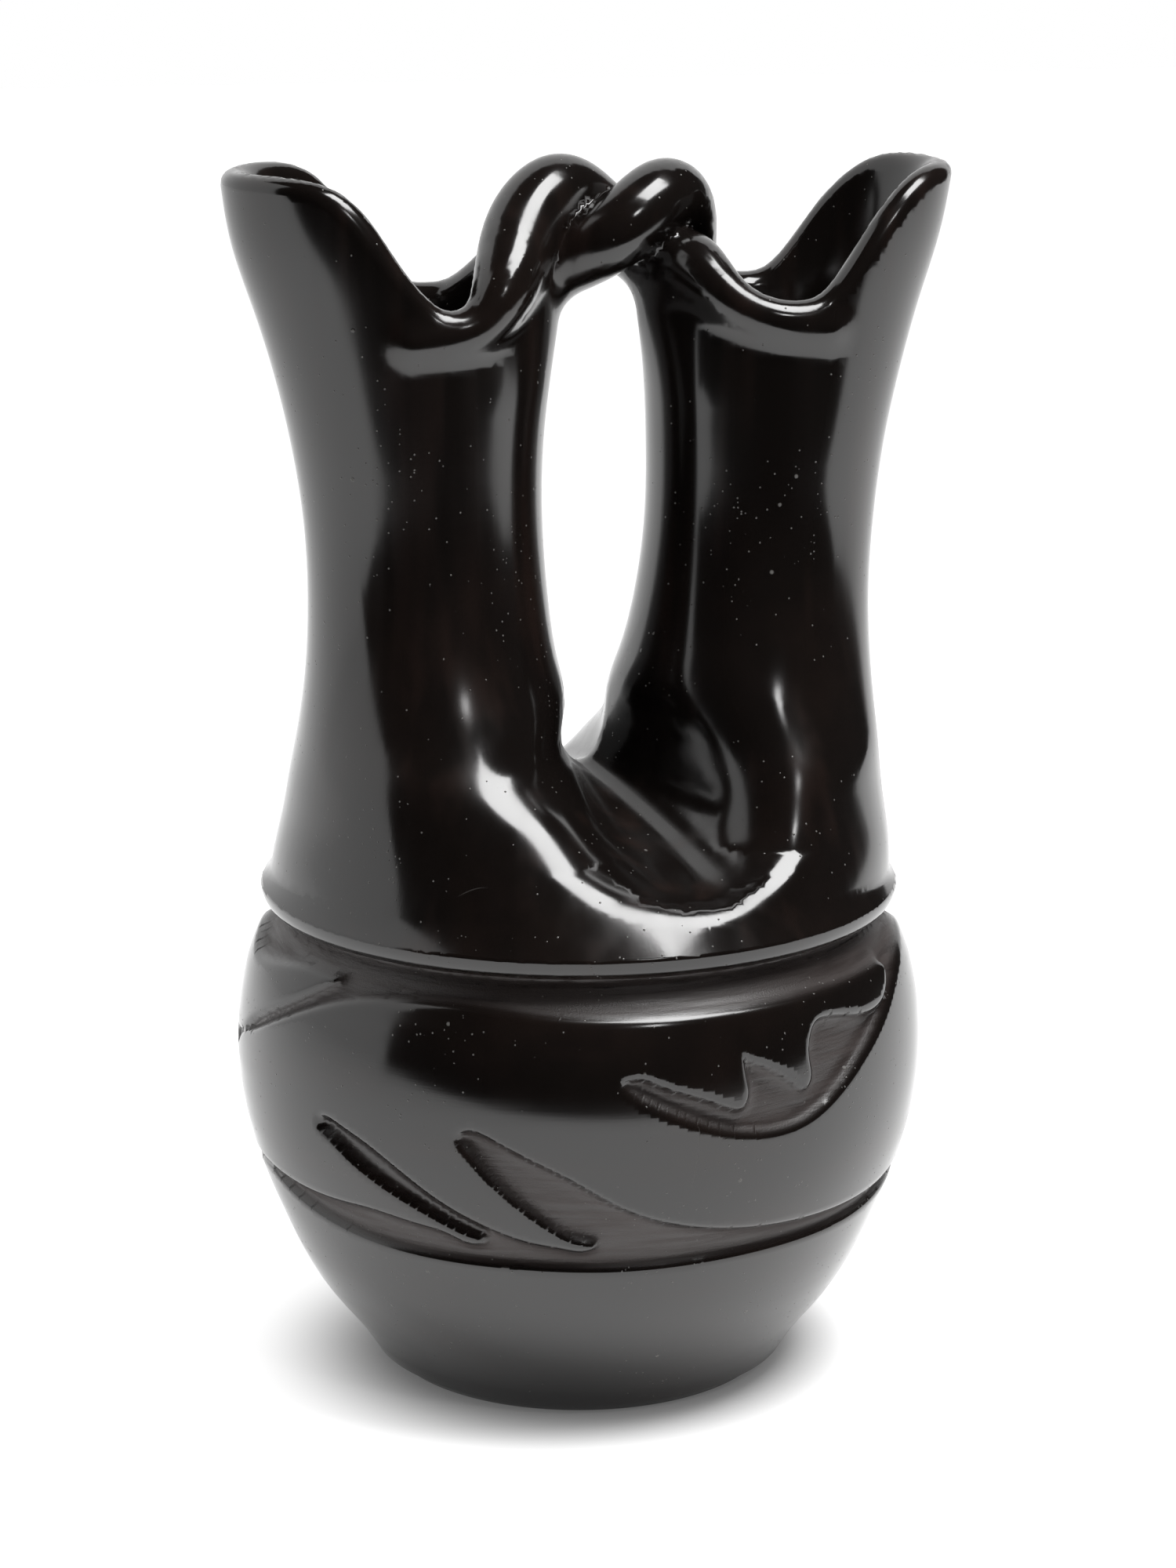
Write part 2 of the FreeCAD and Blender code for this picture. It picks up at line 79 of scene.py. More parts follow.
# Belly profile as shares of the shoulder height and of the way from foot to belly radius
belly_shares = [
    (0.0, 0.0), (0.032, 0.096), (0.0645, 0.1615), (0.171, 0.426), (0.3225, 0.694),
    (0.483, 0.8935), (0.665, 1.0), (0.837, 0.955), (0.909, 0.8865),
]
belly_profile = [
    (shoulder_height * rise, foot_radius + (belly_radius - foot_radius) * run)
    for rise, run in belly_shares
]
belly_profile.append((shoulder_height * 0.962, shoulder_radius + 0.65 * roll_run))
belly_profile.append((shoulder_height, shoulder_radius - 0.3 * roll_run))

# Height, distance of the centre from the axis, reach inwards, outwards and sideways
left_stations = [
    (98.5, 0.0, 61.2, 61.2, 61.2), (106.0, 6.5, 53.3, 53.3, 55.3),
    (113.0, 13.3, 44.9, 44.9, 49.4), (120.0, 21.2, 35.7, 35.7, 43.6),
    (126.0, 27.4, 28.3, 28.3, 38.6), (132.0, 28.4, 26.3, 26.3, 34.2),
    (142.0, 29.0, 24.5, 24.5, 28.6), (155.0, 29.7, 23.2, 23.2, 24.6),
    (170.0, 30.5, 22.95, 22.95, 23.0), (185.0, 31.45, 24.1, 24.1, 23.4),
    (200.0, 32.2, 26.7, 26.7, 24.1), (212.0, 32.5, 29.0, 30.0, 24.8),
    (224.0, 32.7, 29.5, 33.6, 25.6), (238.0, 32.8, 29.8, 35.6, 26.4),
]
right_stations = [
    (98.5, 0.0, 61.2, 61.2, 61.2), (106.0, 7.1, 54.2, 54.2, 55.3),
    (113.0, 14.4, 46.0, 46.0, 49.4), (120.0, 22.5, 37.0, 37.0, 43.6),
    (126.0, 29.2, 29.8, 29.8, 38.6), (132.0, 31.6, 26.9, 26.9, 33.9),
    (142.0, 33.3, 24.5, 24.5, 28.3), (155.0, 34.7, 22.8, 22.8, 24.3),
    (170.0, 36.05, 22.4, 22.4, 22.5), (185.0, 37.1, 23.3, 23.3, 22.9),
    (200.0, 38.3, 25.4, 25.4, 23.5), (212.0, 39.4, 28.2, 27.6, 24.2),
    (224.0, 40.4, 29.4, 30.3, 25.0), (238.0, 41.3, 30.2, 32.0, 25.8),
]
groin_clay = [(98.5, 0.0), (110.0, 1.5), (122.0, 3.0), (134.0, 2.0), (150.0, 0.4), (165.0, 0.0)]

# Height of the wall under the rounded lip, by the angle from the pouring side
left_rim = [
    (0, 235.2), (25, 235.4), (42, 235.2), (54, 233.6), (62, 230.2), (70, 224.6), (78, 218.4),
    (86, 213.8), (94, 211.0), (104, 209.6), (112, 209.4), (120, 212.0), (130, 217.2),
    (140, 221.0), (155, 222.5), (180, 222.5),
]
right_rim = [
    (0, 234.8), (25, 235.0), (40, 233.8), (52, 229.8), (62, 224.0), (72, 217.0), (82, 212.2),
    (92, 210.6), (104, 210.4), (115, 211.6), (126, 214.6), (138, 219.0), (150, 221.5), (180, 222.0),
]
pinch_start = 194.0           # the mouths narrow towards the handle between these heights
pinch_end = 224.0
pinch_amount = 0.7
spouts_over = 175.0           # over this height the two spouts stand apart

# Coils of the twisted handle: x, y, z and radius
near_coil = [
    (-36, -22.7, 208, 2.2), (-29.5, -22.8, 208.8, 2.5), (-24, -21.8, 210.6, 3.4),
    (-19.5, -19.5, 215, 5.2), (-15, -12, 222.5, 6.8), (-10.3, -5, 229.3, 7.2),
    (-4.2, 0, 232.8, 7.2), (6.4, 6.5, 226.3, 7.0), (17.1, 0, 219.5, 6.8),
    (20.5, -8, 219.2, 6.0), (23, -13.5, 217, 4.7), (26.5, -18.4, 213.5, 3.5),
    (31, -21.1, 211, 2.9), (37, -21.9, 209.3, 2.5), (43, -21.7, 208.6, 2.2),
]
far_coil = [
    (-36, 22.7, 208, 2.2), (-29.5, 22.8, 208.6, 2.5), (-23.5, 21.6, 209.8, 3.0),
    (-17.5, 18, 211.4, 3.9), (-11, 9.5, 214.6, 5.6), (-4.2, 0.5, 219.4, 7.0),
    (6.4, -6.5, 226, 7.0), (17.1, 0, 231.6, 7.2), (22.3, 7.5, 226.8, 6.4),
    (25.5, 13.5, 219.8, 4.8), (29, 18.4, 214.6, 3.6), (33, 20.9, 211.2, 2.9),
    (38, 21.9, 209.3, 2.5), (43, 21.7, 208.6, 2.2),
]

# Outlines of the carved ground as angle round the vase and height; minus 90 is the front.
# A figure takes half a turn, and two equal figures go round.
belt_top_strokes = [
    [(-149.3, 89.2), (-153.4, 86.6), (-161.4, 81.8), (-173, 75.3), (-183.8, 69.6),
     (-186.6, 68.0), (-186.2, 66.9), (-183.3, 68.0), (-174, 72.4), (-165.7, 76.4),
     (-156, 81.5), (-146.6, 85.6), (-135.3, 88.3), (-117.6, 89.0), (-104.3, 88.0),
     (-90, 87.6), (-64.9, 87.5), (-48, 87.4), (-38, 87.6), (-34.5, 86.8), (-35.6, 84.2),
     (-41.8, 80.8), (-48, 81.4), (-55.3, 83.0), (-59, 82.4), (-60.6, 80.0), (-61.2, 76.0),
     (-61.4, 71.8), (-62.4, 70.8), (-64, 71.8), (-68, 75.3), (-74.3, 79.0)],
    [(-74.3, 79.0), (-74, 75.0), (-74, 70.8), (-74.9, 69.6), (-76.6, 69.9), (-82, 72.6),
     (-88, 75.2), (-93.2, 77.0), (-94.8, 76.3), (-93, 73.8), (-88.1, 70.5), (-82, 67.2),
     (-74.8, 64.6), (-70, 63.8), (-65.8, 63.9), (-61, 65.1), (-57.3, 67.0), (-48.8, 73.0),
     (-39.2, 79.5), (-33.1, 83.5), (-26, 86.6), (-19.5, 88.5), (-13.7, 89.5), (-8, 88.6),
     (-1.8, 86.6), (6, 86.6), (14.1, 88.0), (22, 89.2), (30.7, 89.2)],
]
belt_foot_strokes = [
    [(-170, 46.3), (-159.9, 46.1), (-148.6, 46.3), (-138, 46.6), (-130, 45.6), (-124, 44.3),
     (-119.2, 43.1), (-118.1, 43.8), (-120, 44.8), (-124.7, 46.9), (-129.8, 49.6),
     (-136.2, 53.0), (-143.1, 57.4), (-146.8, 59.9), (-149.2, 62.2), (-148.6, 63.3),
     (-144.5, 63.1), (-139.3, 61.0), (-132.8, 56.9), (-124.2, 50.7), (-116.8, 46.7),
     (-109.6, 44.0), (-104.3, 42.9), (-100.2, 42.8), (-99.2, 43.5), (-100.6, 44.2),
     (-103.5, 45.2), (-107.6, 48.2), (-113.4, 53.8), (-117.3, 58.4), (-120.4, 62.8),
     (-121.5, 65.4), (-120.2, 66.5), (-116.6, 65.8), (-111.1, 62.6), (-103.4, 58.1),
     (-94.1, 51.4), (-87, 48.0), (-80.4, 46.0), (-71.2, 44.3), (-62, 43.4), (-52.5, 42.9),
     (-35.7, 42.9), (-15, 44.6), (0, 46.0), (10, 46.3)],
]
bowl_edge_strokes = [
    [(-170, 45.2), (-161.6, 42.9), (-150.6, 40.7), (-141.5, 39.5), (-130.8, 38.8),
     (-112, 38.5), (-96, 38.2), (-81, 38.5), (-65, 38.8), (-52.5, 38.8), (-35, 39.4),
     (-15, 41.8), (0, 44.3), (10, 45.2)],
]
slit_line = ((-150.0, 63.5), (-121.0, 46.5))      # the polished slit of the belt
slit_half_width = 3.6

# Mesh of the crown (yoke, spouts and handle) and of the belly.  The grid is closest at the
# handle, the rolled edge and the rims.
crown_foot = 92.0
join_height = 91.4
crown_columns = [(-70.5, -28.0, 1.6), (-28.0, 30.0, 1.3), (30.0, 75.5, 1.6)]
crown_rows = [(-65.5, -34.0, 1.9), (-34.0, 34.0, 1.4), (34.0, 66.0, 1.9)]
crown_levels = [(crown_foot, 101.0, 0.85), (101.0, 128.0, 1.7), (128.0, 195.0, 3.8),
                (195.0, 207.0, 1.7), (207.0, 243.0, 1.2)]
band_foot = 36.4
band_columns = 560
band_step = 0.88
band_plain_over = 90.0        # over this the ground has its full depth all round


def natural_spline(points, column=1):
    """Natural cubic spline through a column of a table, for arrays."""
    xs = np.array([p[0] for p in points], float)
    ys = np.array([p[column] for p in points], float)
    step = np.diff(xs)
    rise = np.diff(ys) / step
    count = len(xs)
    matrix = np.eye(count)
    right = np.zeros(count)
    for i in range(1, count - 1):
        matrix[i, i - 1] = step[i - 1]
        matrix[i, i] = 2.0 * (step[i - 1] + step[i])
        matrix[i, i + 1] = step[i]
        right[i] = 3.0 * (rise[i] - rise[i - 1])
    bend = np.linalg.solve(matrix, right)

    def value(x):
        x = np.clip(x, xs[0], xs[-1])
        i = np.clip(np.searchsorted(xs, x, side="right") - 1, 0, count - 2)
        t = x - xs[i]
        slope = rise[i] - step[i] * (bend[i + 1] + 2.0 * bend[i]) / 3.0
        return ys[i] + t * (slope + t * (bend[i] + t * (bend[i + 1] - bend[i]) / (3.0 * step[i])))

    return value


def smooth_min(a, b, size):
    mix = np.maximum(size - np.abs(a - b), 0.0)
    return np.minimum(a, b) - mix * mix / (4.0 * size)


def ease(x, low, high):
    t = np.clip((x - low) / (high - low), 0.0, 1.0)
    return t * t * (3.0 - 2.0 * t)


class Spout:
    def __init__(self, side, stations, rim):
        self.side = side
        self.centre = natural_spline(stations, 1)
        self.inner = natural_spline(stations, 2)
        self.outer = natural_spline(stations, 3)
        self.across = natural_spline(stations, 4)
        self.rim = natural_spline(rim)


left = Spout(-1.0, left_stations, left_rim)
right = Spout(1.0, right_stations, right_rim)
groin = natural_spline(groin_clay)
belly_line = natural_spline(belly_profile)


def tube(spout, x, y, z, passage):
    """Distance to one spout's outside or passage, and the angle round the spout."""
    level = np.maximum(z, yoke_height)
    wall = 0.0
    shift = 0.0
    if passage:
        share = np.clip((level - yoke_height) / wall_change, 0.0, 1.0)
        wall = yoke_wall + (lip_wall - yoke_wall) * share
        shift = groin(level)
    along = spout.side * x - spout.centre(level) - shift
    thin = wall + shift
    reach = np.where(along > 0.0, spout.outer(level), spout.inner(level)) - thin
    across = spout.across(level) - thin
    u = along / reach
    v = np.abs(y) / across
    pinch = pinch_amount * ease(level, pinch_start, pinch_end)
    pinch = pinch * ease(-u, 0.0, 0.5)
    power = 1.0 / (1.0 + pinch)
    bow = np.power(v + 1e-9, power)
    rho = np.sqrt(u * u + bow * bow) + 1e-9
    slope_u = u / (rho * reach)
    slope_v = bow * bow * power / ((v + 1e-3) * rho * across)
    slope = np.sqrt(slope_u * slope_u + slope_v * slope_v) + 1e-4
    return (rho - 1.0) / slope, bow, u


def valley_distance(x, y, z):
    """Distance to the tapered hollow of the valley, in front and behind."""
    start = np.array(valley_start)
    end = np.array(valley_end)
    line = end - start
    line = line / np.linalg.norm(line)
    lift = np.array([0.0, 0.0, 1.0]) - line * line[2]
    lift = lift / np.linalg.norm(lift)
    a = start + lift * valley_radii[0]
    b = end + lift * valley_radii[1]
    span = b - a
    result = None
    for turn in (1.0, -1.0):
        px = turn * (x - start[0]) + start[0] - a[0]
        py = turn * (y - start[1]) + start[1] - a[1]
        pz = z - a[2]
        t = np.clip((px * span[0] + py * span[1] + pz * span[2]) / span.dot(span), 0.0, 1.0)
        d = np.sqrt((px - t * span[0]) ** 2 + (py - t * span[1]) ** 2 + (pz - t * span[2]) ** 2)
        d = d - (valley_radii[0] + (valley_radii[1] - valley_radii[0]) * t)
        result = d if result is None else np.minimum(result, d)
    return result


def hollowed(shape, hollow, z):
    """The shape without the hollow, with a soft edge that sharpens towards the yoke."""
    soft = np.clip(z - yoke_height, 0.0, valley_softness)
    mix = np.maximum(soft - np.abs(shape + hollow), 0.0)
    return np.maximum(shape, -hollow) + mix * mix / (4.0 * valley_softness)


def coil_path(stations, count=150):
    """Points and radii along a coil."""
    length = [0.0]
    for a, b in zip(stations, stations[1:]):
        length.append(length[-1] + math.dist(a[:3], b[:3]))
    table = [(length[i],) + tuple(stations[i]) for i in range(len(stations))]
    s = np.linspace(0.0, length[-1], count)
    return np.stack([natural_spline(table, k)(s) for k in (1, 2, 3, 4)], axis=1)


coil_paths = [coil_path(near_coil), coil_path(far_coil)]
coil_low = np.min([p[:, :3].min(axis=0) for p in coil_paths], axis=0) - 16.0
coil_high = np.max([p[:, :3].max(axis=0) for p in coil_paths], axis=0) + 16.0


def coil_distance(points, path):
    """Distance from points to a tapered coil."""
    a = path[:-1, :3]
    span = path[1:, :3] - a
    size = (span * span).sum(axis=1)
    grow = path[1:, 3] - path[:-1, 3]
    result = np.empty(len(points))
    for first in range(0, len(points), 20000):
        p = points[first:first + 20000]
        px = p[:, None, 0] - a[None, :, 0]
        py = p[:, None, 1] - a[None, :, 1]
        pz = p[:, None, 2] - a[None, :, 2]
        t = np.clip((px * span[:, 0] + py * span[:, 1] + pz * span[:, 2]) / size, 0.0, 1.0)
        d = (px - t * span[:, 0]) ** 2 + (py - t * span[:, 1]) ** 2 + (pz - t * span[:, 2]) ** 2
        d = np.sqrt(d) - (path[:-1, 3] + grow * t)
        result[first:first + 20000] = d.min(axis=1)
    return result


def handle_distance(points):
    """Distance to the two twisted coils; far from them it is only large."""
    result = np.full(len(points), 30.0)
    near = ((points > coil_low) & (points < coil_high)).all(axis=1)
    some = points[near]
    if len(some):
        result[near] = smooth_min(coil_distance(some, coil_paths[0]),
                                  coil_distance(some, coil_paths[1]), 1.0)
    return result


def spout_wall(spout, x, y, z):
    """Distance to the clay of one spout with its wavy rounded lip."""
    out, bow, u = tube(spout, x, y, z, False)
    hole, _, _ = tube(spout, x, y, z, True)
    angle = np.degrees(np.arctan2(bow, u))
    turn = 1.5
    rise = (spout.rim(angle + turn) - spout.rim(angle - turn)) / (2.0 * turn * 0.49)
    above = (z - spout.rim(angle)) / np.sqrt(1.0 + rise * rise)
    middle = 0.5 * (out + hole)
    half = 0.5 * (hole - out)
    return np.hypot(middle, np.maximum(above, 0.0)) - half


def crown_clay(x, y, z):
    """Distance to the clay of the yoke and spouts, without the handle."""
    out = smooth_min(tube(left, x, y, z, False)[0], tube(right, x, y, z, False)[0], groin_blend)
    hole = smooth_min(tube(left, x, y, z, True)[0], tube(right, x, y, z, True)[0], inner_blend)
    valley = valley_distance(x, y, z)
    out = hollowed(out, valley, z)
    hole = hollowed(hole, valley - lip_wall, z)
    radius = np.hypot(x, y)
    u = np.maximum(radius - shoulder_radius, 0.0) / roll_run
    v = np.maximum(yoke_height - z, 0.0) / roll_rise
    rho = np.hypot(u, v) + 1e-6
    roll = (rho - 1.0) * rho / (np.hypot(u / roll_run, v / roll_rise) + 1e-6)
    roll = np.where(radius < shoulder_radius, shoulder_height - z, roll)
    out = np.where(z < yoke_height, roll, out)
    core = radius - (belly_line(z) - carve_depth)
    out = np.where(z < yoke_height + 4.0, smooth_min(out, core, 2.0), out)
    hole = np.where(z < yoke_height, radius - (yoke_radius - yoke_wall), hole)
    body = np.maximum(out, -hole)
    spouts = np.minimum(spout_wall(left, x, y, z), spout_wall(right, x, y, z))
    return np.where(z > spouts_over, spouts, body)


def crown_field(points):
    """Distance to the whole crown for a list of points."""
    clay = crown_clay(points[:, 0], points[:, 1], points[:, 2])
    return smooth_min(clay, handle_distance(points), coil_blend)


def crown_slope(points, reach=0.05):
    slope = np.empty_like(points)
    for axis in range(3):
        step = np.zeros(3)
        step[axis] = reach
        slope[:, axis] = (crown_field(points + step) - crown_field(points - step)) / (2.0 * reach)
    return slope


def grid_lines(zones):
    """Grid lines through zones of start, end and spacing."""
    lines = []
    for low, high, step in zones:
        count = max(int(round((high - low) / step)), 1)
        lines += [low + (high - low) * i / count for i in range(count)]
    lines.append(zones[-1][1])
    return np.array(lines)


def surface_net(values, xs, ys, zs):
    """Quads and corner points of the zero surface on a grid."""
    inside = values < 0.0
    shape = tuple(n - 1 for n in values.shape)
    total = np.zeros(shape + (3,))
    hits = np.zeros(shape)
    axes = (xs, ys, zs)
    crossings = []
    for axis in range(3):
        low = [slice(None)] * 3
        high = [slice(None)] * 3
        low[axis] = slice(None, -1)
        high[axis] = slice(1, None)
        v0 = values[tuple(low)]
        v1 = values[tuple(high)]
        i, j, k = np.nonzero(inside[tuple(low)] != inside[tuple(high)])
        t = v0[i, j, k] / (v0[i, j, k] - v1[i, j, k])
        at = np.stack([xs[i], ys[j], zs[k]], axis=1)
        index = (i, j, k)[axis]
        at[:, axis] += t * (axes[axis][index + 1] - axes[axis][index])
        crossings.append((i, j, k, inside[tuple(low)][i, j, k]))
        others = [a for a in range(3) if a != axis]
        for da in (0, -1):
            for db in (0, -1):
                cell = [i.copy(), j.copy(), k.copy()]
                cell[others[0]] += da
                cell[others[1]] += db
                ok = np.ones(len(i), bool)
                for a in range(3):
                    ok &= (cell[a] >= 0) & (cell[a] < shape[a])
                place = tuple(c[ok] for c in cell)
                np.add.at(total, place, at[ok])
                np.add.at(hits, place, 1.0)
    number = np.full(shape, -1)
    used = hits > 0
    number[used] = np.arange(used.sum())
    points = total[used] / hits[used][:, None]
    quads = []
    # cells round an edge in the order that turns right-handed about its axis
    rounds = {0: [(0, -1, -1), (0, 0, -1), (0, 0, 0), (0, -1, 0)],
              1: [(-1, 0, -1), (-1, 0, 0), (0, 0, 0), (0, 0, -1)],
              2: [(-1, -1, 0), (0, -1, 0), (0, 0, 0), (-1, 0, 0)]}
    for axis in range(3):
        i, j, k, starts_inside = crossings[axis]
        corners = []
        ok = np.ones(len(i), bool)
        for di, dj, dk in rounds[axis]:
            ci, cj, ck = i + di, j + dj, k + dk
            fine = (ci >= 0) & (cj >= 0) & (ck >= 0)
            fine &= (ci < shape[0]) & (cj < shape[1]) & (ck < shape[2])
            ok &= fine
            corners.append((np.clip(ci, 0, shape[0] - 1), np.clip(cj, 0, shape[1] - 1),
                            np.clip(ck, 0, shape[2] - 1)))
        quad = np.stack([number[c] for c in corners], axis=1)
        quad[~starts_inside] = quad[~starts_inside][:, ::-1]
        quads.append(quad[ok])
    return points, np.concatenate(quads)


def crown_mesh():
    """Points, normals and quads of the crown; its lowest loops lie half a step over crown_foot."""
    xs = grid_lines(crown_columns)
    ys = grid_lines(crown_rows)
    zs = grid_lines(crown_levels)
    values = crown_clay(xs[:, None, None], ys[None, :, None], zs[None, None, :])
    grid = np.stack(np.meshgrid(xs, ys, zs, indexing="ij"), axis=-1).reshape(-1, 3)
    near = ((grid > coil_low) & (grid < coil_high)).all(axis=1)
    flat = values.reshape(-1)
    flat[near] = smooth_min(flat[near], handle_distance(grid[near]), coil_blend)
    values = flat.reshape(values.shape)
    points, quads = surface_net(values, xs, ys, zs)
    edge = points[:, 2] < zs[1]
    for _ in range(3):
        slope = crown_slope(points)
        distance = crown_field(points)
        move = slope * (distance / np.maximum((slope * slope).sum(axis=1), 0.2))[:, None]
        move[edge, 2] = 0.0
        size = np.linalg.norm(move, axis=1)
        points = points - move * np.minimum(1.0, 0.8 / np.maximum(size, 1e-9))[:, None]
    points[edge, 2] = 0.5 * (zs[0] + zs[1])
    slope = crown_slope(points, 0.12)
    normals = slope / np.maximum(np.linalg.norm(slope, axis=1), 1e-9)[:, None]
    return points, normals, quads


def outline_points(strokes, spacing=0.6):
    """Dense outline of one figure in degrees and millimetres."""
    dense = []
    for stroke in strokes:
        place = [0.0]
        for (a1, z1), (a2, z2) in zip(stroke, stroke[1:]):
            arc = math.radians(a2 - a1) * yoke_radius
            place.append(place[-1] + math.hypot(arc, z2 - z1))
        table = [(place[i],) + stroke[i] for i in range(len(stroke))]
        s = np.linspace(0.0, place[-1], int(place[-1] / spacing) + 2)
        dense.append(np.stack([natural_spline(table, 1)(s), natural_spline(table, 2)(s)], axis=1))
    return np.concatenate([dense[0]] + [d[1:] for d in dense[1:]])


band_radius = 66.0
degree = math.radians(1.0) * band_radius


def outline_look(outline, angle, z):
    """Nearest point of the repeated outline, and whether the point lies under the outline.

    The angles lie between -170 and 10 degrees and are taken a few degrees at a time, with
    only the pieces of the outline that lie near them."""
    line = np.concatenate([outline[:-1] - (180.0, 0.0), outline[:-1], outline + (180.0, 0.0)])
    low_end = np.minimum(line[:-1, 0], line[1:, 0])
    high_end = np.maximum(line[:-1, 0], line[1:, 0])
    best = np.empty(len(angle))
    place = np.empty((len(angle), 2))
    under = np.empty(len(angle), bool)
    width = 6.0
    reach = 9.0
    for first in np.arange(-170.0, 10.0, width):
        rows = np.nonzero((angle >= first) & (angle < first + width))[0]
        close = (high_end > first - reach) & (low_end < first + width + reach)
        a = line[:-1][close] * (degree, 1.0)
        b = line[1:][close] * (degree, 1.0)
        span = b - a
        size = np.maximum((span * span).sum(axis=1), 1e-9)
        px = angle[rows, None] * degree
        pz = z[rows, None]
        t = np.clip(((px - a[:, 0]) * span[:, 0] + (pz - a[:, 1]) * span[:, 1]) / size, 0.0, 1.0)
        qx = a[:, 0] + t * span[:, 0]
        qz = a[:, 1] + t * span[:, 1]
        d = (px - qx) ** 2 + (pz - qz) ** 2
        pick = d.argmin(axis=1)
        each = np.arange(len(pick))
        best[rows] = np.sqrt(d[each, pick])
        place[rows, 0] = qx[each, pick] / degree
        place[rows, 1] = qz[each, pick]
        spans = (a[:, 0] <= px) != (b[:, 0] <= px)
        run = np.where(np.abs(span[:, 0]) < 1e-9, 1e-9, span[:, 0])
        height = a[:, 1] + (px - a[:, 0]) / run * span[:, 1]
        under[rows] = (spans & (height > pz)).sum(axis=1) % 2 == 1
    return best, place, under


belt_top = outline_points(belt_top_strokes)
belt_foot = outline_points(belt_foot_strokes)
bowl_edge = outline_points(bowl_edge_strokes)


def ground_distance(angle, z):
    """Signed distance to the carved ground, positive on it, and the nearest outline point."""
    folded = np.mod(angle + 170.0, 180.0) - 170.0
    d1, p1, under_top = outline_look(belt_top, folded, z)
    d2, p2, under_foot = outline_look(belt_foot, folded, z)
    d3, p3, under_edge = outline_look(bowl_edge, folded, z)
    ground = ~under_top | (under_foot & ~under_edge)
    nearest = np.argmin(np.stack([d1, d2, d3]), axis=0)
    distance = np.min(np.stack([d1, d2, d3]), axis=0)
    place = np.where((nearest == 0)[:, None], p1, np.where((nearest == 1)[:, None], p2, p3))
    place[:, 0] += angle - folded
    return np.where(ground, distance, -distance), place


# Depth of the cut by the distance from its outline, and the lines that the mesh keeps to
cut_section = [(-0.9, 0.0), (-0.1, 0.3), (0.75, 1.45), (1.6, 2.05), (3.0, 2.3), (40.0, 2.3)]
cut_lines = (-0.9, -0.1, 0.75, 1.6)


def cut_depth(distance):
    xs = [p[0] for p in cut_section]
    ys = [p[1] for p in cut_section]
    return np.interp(distance, xs, ys) * carve_depth / cut_section[-1][1]


def cut_normals(angle, z):
    """Normals of the carved band from the slope of its depth, taken a little way each side."""
    reach = 0.5
    slopes = []
    for way in ((reach / degree, 0.0), (0.0, reach)):
        ahead, _ = ground_distance(angle + way[0], z + way[1])
        behind, _ = ground_distance(angle - way[0], z - way[1])
        slope = (cut_depth(ahead) - cut_depth(behind)) / (2.0 * reach)
        slopes.append(np.where(z > band_plain_over, 0.0, slope))
    profile = (belly_line(z + 0.2) - belly_line(z - 0.2)) / 0.4
    turn = np.radians(angle)
    out = np.stack([np.cos(turn), np.sin(turn), np.zeros(len(z))], axis=1)
    along = np.stack([-np.sin(turn), np.cos(turn), np.zeros(len(z))], axis=1)
    normals = out + along * slopes[0][:, None]
    normals[:, 2] = slopes[1] - profile
    return normals / np.linalg.norm(normals, axis=1)[:, None]


